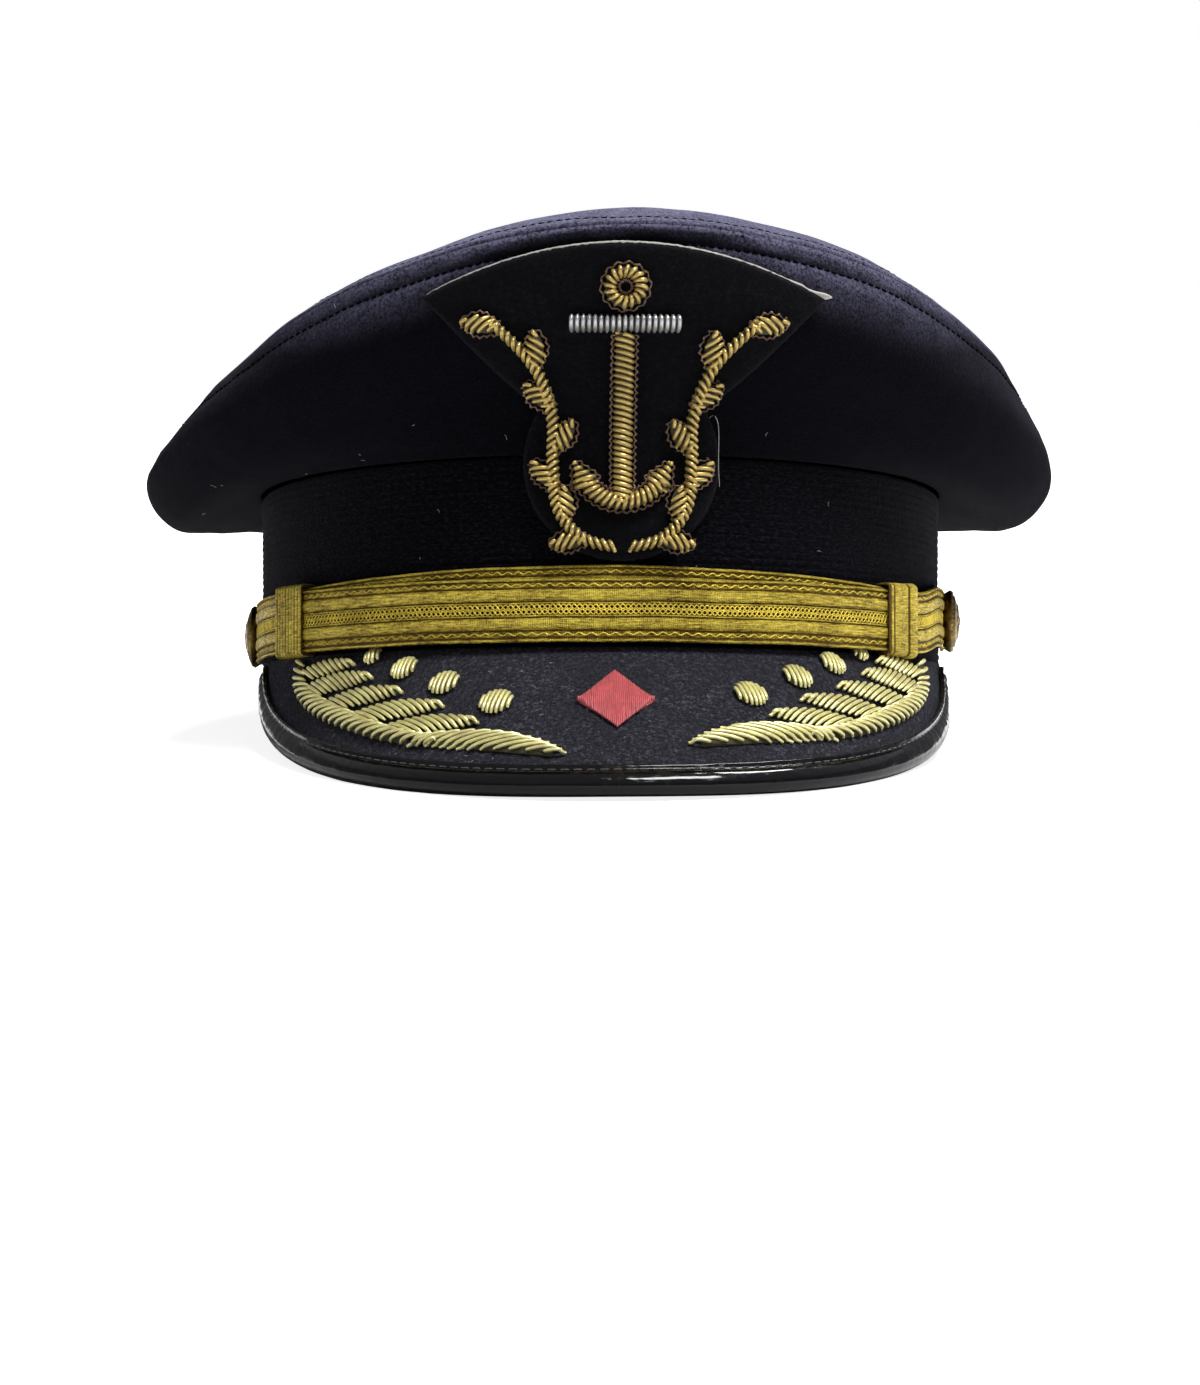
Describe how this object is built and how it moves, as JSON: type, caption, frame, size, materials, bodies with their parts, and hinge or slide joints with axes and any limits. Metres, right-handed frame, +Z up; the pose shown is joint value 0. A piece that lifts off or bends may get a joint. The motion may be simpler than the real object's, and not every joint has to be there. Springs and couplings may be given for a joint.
{
  "type": "officer's peaked cap",
  "caption": "Officer's peaked cap: navy wool crown, ribbed band, felt peak with gold bullion leaves, lace chin strap, side buttons and a wreathed anchor badge.",
  "frame": {"origin": "on the surface the cap rests on, under the middle of the whole cap", "axes": "+Z up from the resting surface, -Y towards the peak at the cap's front, +X towards the wearer's left"},
  "size_m": [0.2294, 0.2832, 0.1326],
  "materials": {
    "wool": "matte navy wool",
    "mohair": "matte ribbed",
    "felt": "matte wool felt",
    "patent": "gloss",
    "lace": "woven metal thread",
    "gilt": "tarnished gilt",
    "bullion": "gold bullion wire",
    "silver": "silver bullion wire",
    "satin": "satin stitch"
  },
  "bodies": {
    "root": {"crown_side": "wool", "crown_top": "wool", "cap_band": "mohair", "peak": "felt", "peak_binding": "patent", "chin_strap_back": "lace", "chin_strap_front": "lace", "keeper_right": "lace", "keeper_left": "lace", "badge_patch": "felt", "anchor": "bullion", "anchor_ring": "bullion", "anchor_stock": "silver", "red_lozenge": "satin", "stem_left": "bullion", "leaf_left_1": "bullion", "leaf_left_2": "bullion", "leaf_left_3": "bullion", "leaf_left_4": "bullion", "leaf_left_5": "bullion", "leaf_left_6": "bullion", "berry_left_1": "bullion", "berry_left_2": "bullion", "berry_left_3": "bullion", "berry_left_4": "bullion", "spray_left": "bullion", "button_left": "gilt", "stem_right": "bullion", "leaf_right_1": "bullion", "leaf_right_2": "bullion", "leaf_right_3": "bullion", "leaf_right_4": "bullion", "leaf_right_5": "bullion", "leaf_right_6": "bullion", "berry_right_1": "bullion", "berry_right_2": "bullion", "berry_right_3": "bullion", "berry_right_4": "bullion", "spray_right": "bullion", "button_right": "gilt"}
  },
  "joints": []
}
